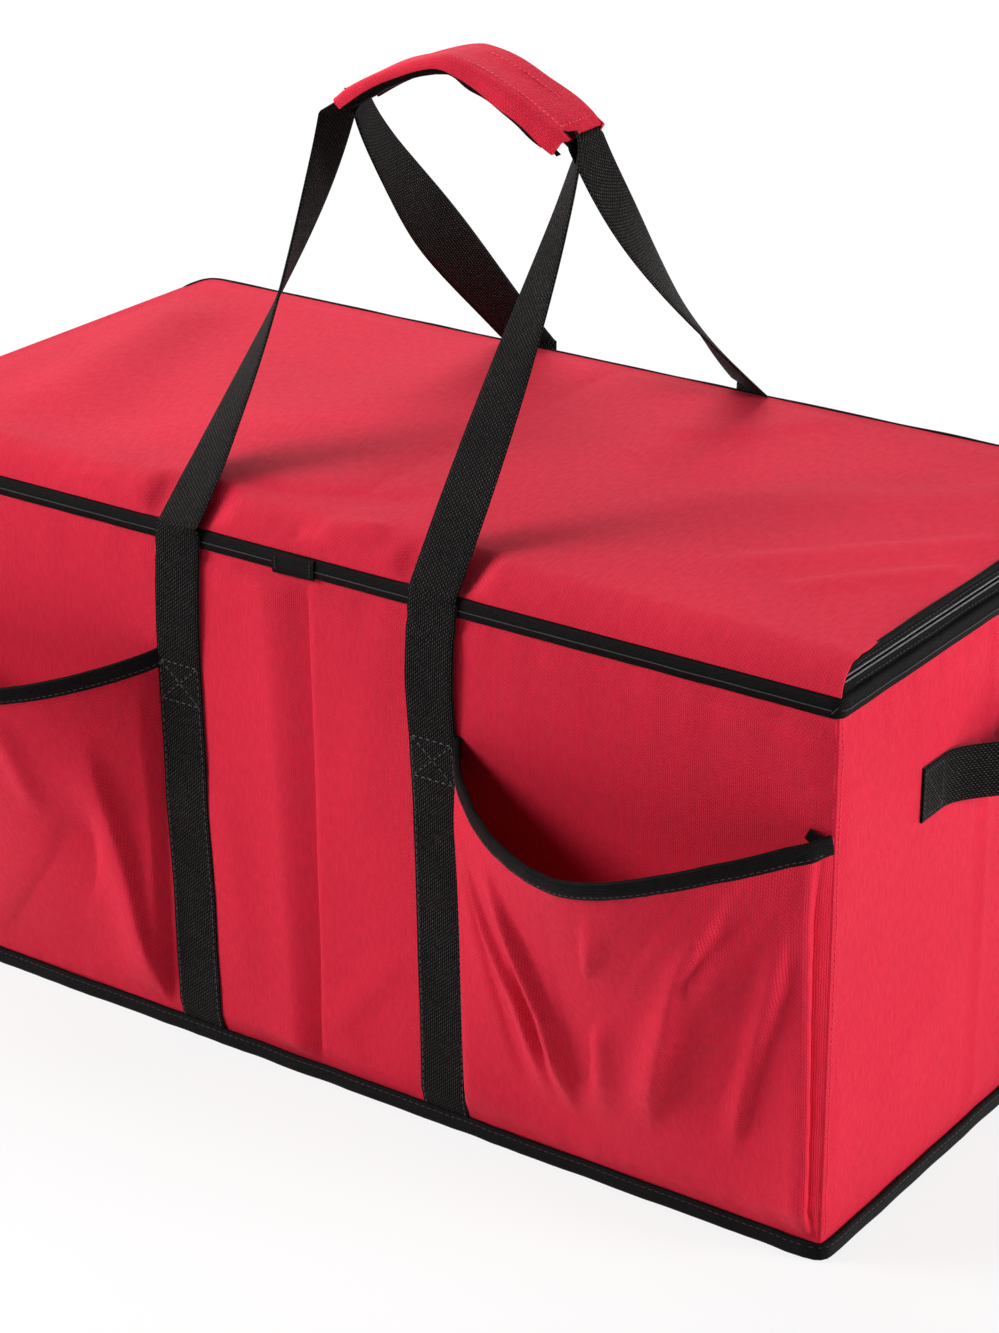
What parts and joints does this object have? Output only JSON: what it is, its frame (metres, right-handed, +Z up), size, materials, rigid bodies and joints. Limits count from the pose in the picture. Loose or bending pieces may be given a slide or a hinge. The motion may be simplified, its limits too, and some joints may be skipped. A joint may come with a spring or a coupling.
{
  "type": "fabric storage tote",
  "caption": "Long box-shaped zipped fabric tote with two carrying loops joined by a hook-and-loop grip, sagging front pockets and webbing end handles.",
  "frame": {"origin": "centre of the underside, on the floor", "axes": "+X to the right along the long front, -Y out of the front with the pockets, +Z up"},
  "size_m": [0.6906, 0.3805, 0.5399],
  "materials": {
    "red_cloth": "matte woven polyester",
    "black_webbing": "ribbed woven webbing",
    "black_binding": "folded satin-edged binding tape",
    "black_tape": "flat woven tape",
    "zipper_coil": "nylon coil",
    "zipper_metal": "black painted zinc",
    "stiffening_board": "plain stiffening board"
  },
  "bodies": {
    "tote": {"bottom_panel": "red_cloth", "front_panel": "red_cloth", "back_panel": "red_cloth", "left_end_panel": "red_cloth", "right_end_panel": "red_cloth", "front_board_left": "stiffening_board", "front_board_right": "stiffening_board", "back_board_left": "stiffening_board", "back_board_right": "stiffening_board", "left_end_board_front": "stiffening_board", "left_end_board_rear": "stiffening_board", "right_end_board_front": "stiffening_board", "right_end_board_rear": "stiffening_board", "wall_lining": "red_cloth", "bottom_binding": "black_binding", "top_binding": "black_binding", "zipper_tape_lower": "black_tape", "zipper_chain_lower": "zipper_coil", "front_strap_left": "black_webbing", "front_strap_right": "black_webbing", "back_strap_left": "black_webbing", "back_strap_right": "black_webbing", "left_pocket": "red_cloth", "right_pocket": "red_cloth", "left_pocket_binding": "black_binding", "right_pocket_binding": "black_binding"},
    "base_board": {"base_board": "red_cloth"},
    "lid": {"lid_panel": "red_cloth", "lid_board_left": "stiffening_board", "lid_board_right": "stiffening_board", "lid_lining": "red_cloth", "zipper_tape_upper": "black_tape", "zipper_chain_upper": "zipper_coil"},
    "front_handle": {"front_handle_webbing": "black_webbing", "grip_wrap": "red_cloth", "grip_hook_strip": "black_tape"},
    "grip_flap": {"grip_flap": "red_cloth", "grip_loop_strip": "black_tape"},
    "back_handle": {"back_handle_webbing": "black_webbing"},
    "slider_left": {"zipper_slider_left": "zipper_metal"},
    "slider_right": {"zipper_slider_right": "zipper_metal"},
    "pull_left": {"zipper_pull_left": "zipper_metal"},
    "pull_right": {"zipper_pull_right": "zipper_metal"},
    "left_end_handle": {"left_end_handle": "black_webbing"},
    "right_end_handle": {"right_end_handle": "black_webbing"}
  },
  "joints": [
    {"name": "lid_hinge", "type": "hinge", "parent": "tote", "child": "lid", "pos_m": [0, -0.1562, 0.3036], "axis": [1, 0, 0], "range_deg": [0, 105], "deforming": ["back_handle_webbing"]},
    {"name": "front_handle_swing", "type": "hinge", "parent": "lid", "child": "front_handle", "pos_m": [0, -0.1562, 0.3036], "axis": [1, 0, 0], "range_deg": [0, 65], "deforming": ["back_handle_webbing"]},
    {"name": "back_handle_swing", "type": "hinge", "parent": "tote", "child": "back_handle", "pos_m": [0, 0.1547, 0.226], "axis": [-1, 0, 0], "range_deg": [0, 150], "deforming": ["grip_flap", "grip_loop_strip"]},
    {"name": "grip_flap_open", "type": "hinge", "parent": "front_handle", "child": "grip_flap", "pos_m": [0, -0.0002, 0.5089], "axis": [1, 0, 0], "range_deg": [0, 150], "deforming": ["grip_flap", "grip_loop_strip"]},
    {"name": "slider_left_run", "type": "slide", "parent": "tote", "child": "slider_left", "axis": [-1, 0, 0], "range_m": [0, 0.285]},
    {"name": "slider_right_run", "type": "slide", "parent": "tote", "child": "slider_right", "axis": [1, 0, 0], "range_m": [0, 0.285]},
    {"name": "pull_left_swing", "type": "hinge", "parent": "slider_left", "child": "pull_left", "pos_m": [-0.009, 0.1565, 0.3128], "axis": [1, 0, 0], "range_deg": [0, 150]},
    {"name": "pull_right_swing", "type": "hinge", "parent": "slider_right", "child": "pull_right", "pos_m": [0.009, 0.1565, 0.3128], "axis": [1, 0, 0], "range_deg": [0, 150]},
    {"name": "left_end_handle_swing", "type": "hinge", "parent": "tote", "child": "left_end_handle", "pos_m": [-0.3161, 0, 0.2245], "axis": [0, 1, 0], "range_deg": [-60, 60], "stiffness_Nm_per_rad": 0.05, "deforming": ["left_end_handle"]},
    {"name": "right_end_handle_swing", "type": "hinge", "parent": "tote", "child": "right_end_handle", "pos_m": [0.3161, 0, 0.2245], "axis": [0, -1, 0], "range_deg": [-60, 60], "stiffness_Nm_per_rad": 0.05, "deforming": ["right_end_handle"]},
    {"name": "base_board_lift", "type": "slide", "parent": "tote", "child": "base_board", "axis": [0, 0, 1], "range_m": [0, 0.28]}
  ]
}
